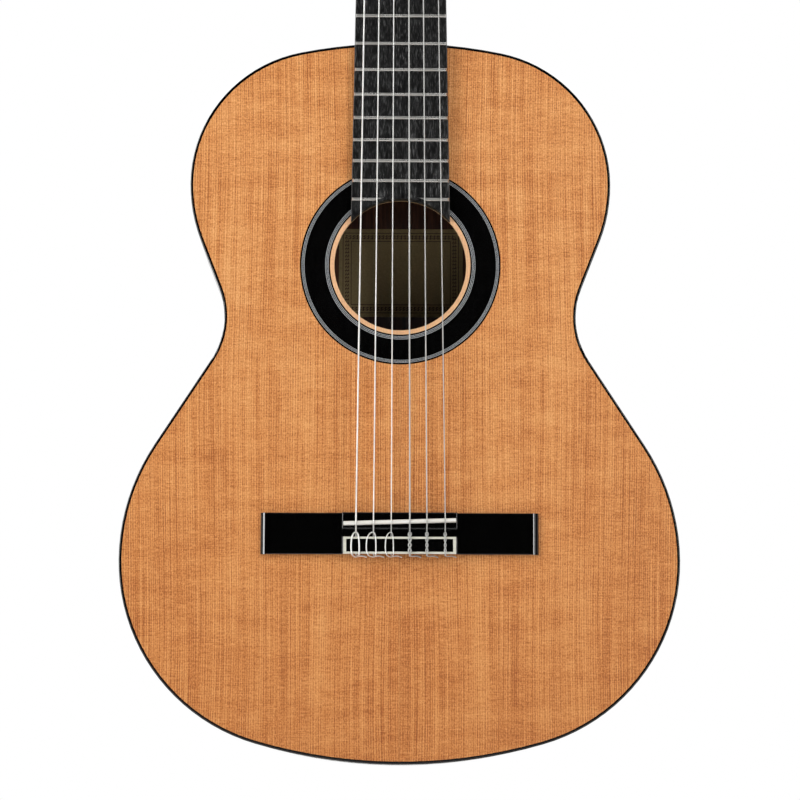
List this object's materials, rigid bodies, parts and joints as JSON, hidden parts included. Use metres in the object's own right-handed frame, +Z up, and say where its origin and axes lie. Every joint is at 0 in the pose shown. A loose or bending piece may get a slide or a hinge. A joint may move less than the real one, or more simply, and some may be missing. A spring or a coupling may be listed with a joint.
{
  "type": "classical guitar",
  "caption": "Classical guitar with a cedar soundboard, round soundhole, ebony fingerboard and tie bridge, and a slotted head whose worm-driven machines turn.",
  "frame": {"origin": "where the centre line meets the tail, on the face of the soundboard", "axes": "+Z up the neck, +X to the treble side, +Y from the soundboard to the back"},
  "size_m": [0.3756, 0.1151, 0.9944],
  "materials": {
    "cedar": "clear gloss over western red cedar",
    "rosewood": "clear gloss over rosewood",
    "black_binding": "gloss black",
    "spruce": "planed, unfinished",
    "mahogany": "clear satin over mahogany",
    "ebony": "oiled, polished",
    "black_ring": "inlaid black dyed veneer under gloss",
    "mosaic": "inlaid black and white mosaic under gloss",
    "paper": "plain cream paper",
    "nickel_silver": "polished nickel silver",
    "bone": "polished bone",
    "plain_nylon": "clear nylon",
    "wound_string": "silver-plated winding",
    "gold_brass": "polished and lacquered",
    "roller_white": "moulded white",
    "pearloid": "white pearloid"
  },
  "bodies": {
    "guitar": {"soundboard": "cedar", "back_plate": "rosewood", "rib_bass": "rosewood", "rib_treble": "rosewood", "heel_cap": "rosewood", "head_veneer": "rosewood", "top_binding": "black_binding", "back_binding": "black_binding", "end_graft": "black_binding", "linings": "spruce", "tail_block": "spruce", "harmonic_bars": "spruce", "soundhole_patch": "spruce", "fan_braces": "spruce", "back_braces": "spruce", "neck": "mahogany", "headstock": "mahogany", "fingerboard": "ebony", "bridge": "ebony", "rosette_ring": "black_ring", "rosette_mosaic": "mosaic", "label": "paper", "frets": "nickel_silver", "nut": "bone", "saddle": "bone", "tie_block_trim": "bone", "string_1": "plain_nylon", "string_2": "plain_nylon", "string_3": "plain_nylon", "string_4": "wound_string", "string_5": "wound_string", "string_6": "wound_string", "tuner_plate_bass": "gold_brass", "tuner_plate_treble": "gold_brass", "plate_screws": "gold_brass"},
    "peg_1": {"worm_1": "gold_brass", "button_1": "pearloid"},
    "barrel_1": {"roller_1": "roller_white", "gear_1": "gold_brass"},
    "peg_2": {"worm_2": "gold_brass", "button_2": "pearloid"},
    "barrel_2": {"roller_2": "roller_white", "gear_2": "gold_brass"},
    "peg_3": {"worm_3": "gold_brass", "button_3": "pearloid"},
    "barrel_3": {"roller_3": "roller_white", "gear_3": "gold_brass"},
    "peg_4": {"worm_4": "gold_brass", "button_4": "pearloid"},
    "barrel_4": {"roller_4": "roller_white", "gear_4": "gold_brass"},
    "peg_5": {"worm_5": "gold_brass", "button_5": "pearloid"},
    "barrel_5": {"roller_5": "roller_white", "gear_5": "gold_brass"},
    "peg_6": {"worm_6": "gold_brass", "button_6": "pearloid"},
    "barrel_6": {"roller_6": "roller_white", "gear_6": "gold_brass"}
  },
  "joints": [
    {"name": "peg_1_turn", "type": "hinge", "parent": "guitar", "child": "peg_1", "pos_m": [0.04105, 0.02174, 0.86435], "axis": [0, -0.9659, 0.2588], "continuous": true},
    {"name": "barrel_1_turn", "type": "hinge", "parent": "guitar", "child": "barrel_1", "pos_m": [0.02, 0.01956, 0.85624], "axis": [1, 0, 0], "continuous": true},
    {"name": "peg_2_turn", "type": "hinge", "parent": "guitar", "child": "peg_2", "pos_m": [0.04105, 0.0308, 0.89816], "axis": [0, -0.9659, 0.2588], "continuous": true},
    {"name": "barrel_2_turn", "type": "hinge", "parent": "guitar", "child": "barrel_2", "pos_m": [0.02, 0.02862, 0.89005], "axis": [1, 0, 0], "continuous": true},
    {"name": "peg_3_turn", "type": "hinge", "parent": "guitar", "child": "peg_3", "pos_m": [0.04105, 0.03986, 0.93197], "axis": [0, -0.9659, 0.2588], "continuous": true},
    {"name": "barrel_3_turn", "type": "hinge", "parent": "guitar", "child": "barrel_3", "pos_m": [0.02, 0.03768, 0.92385], "axis": [1, 0, 0], "continuous": true},
    {"name": "peg_4_turn", "type": "hinge", "parent": "guitar", "child": "peg_4", "pos_m": [-0.04105, 0.03986, 0.93197], "axis": [0, -0.9659, 0.2588], "continuous": true},
    {"name": "barrel_4_turn", "type": "hinge", "parent": "guitar", "child": "barrel_4", "pos_m": [-0.02, 0.03768, 0.92385], "axis": [1, 0, 0], "continuous": true},
    {"name": "peg_5_turn", "type": "hinge", "parent": "guitar", "child": "peg_5", "pos_m": [-0.04105, 0.0308, 0.89816], "axis": [0, -0.9659, 0.2588], "continuous": true},
    {"name": "barrel_5_turn", "type": "hinge", "parent": "guitar", "child": "barrel_5", "pos_m": [-0.02, 0.02862, 0.89005], "axis": [1, 0, 0], "continuous": true},
    {"name": "peg_6_turn", "type": "hinge", "parent": "guitar", "child": "peg_6", "pos_m": [-0.04105, 0.02174, 0.86435], "axis": [0, -0.9659, 0.2588], "continuous": true},
    {"name": "barrel_6_turn", "type": "hinge", "parent": "guitar", "child": "barrel_6", "pos_m": [-0.02, 0.01956, 0.85624], "axis": [1, 0, 0], "continuous": true}
  ],
  "couplings": [
    {"joint": "barrel_1_turn", "follows": "peg_1_turn", "ratio": -0.071429},
    {"joint": "barrel_2_turn", "follows": "peg_2_turn", "ratio": -0.071429},
    {"joint": "barrel_3_turn", "follows": "peg_3_turn", "ratio": -0.071429},
    {"joint": "barrel_4_turn", "follows": "peg_4_turn", "ratio": 0.071429},
    {"joint": "barrel_5_turn", "follows": "peg_5_turn", "ratio": 0.071429},
    {"joint": "barrel_6_turn", "follows": "peg_6_turn", "ratio": 0.071429}
  ]
}
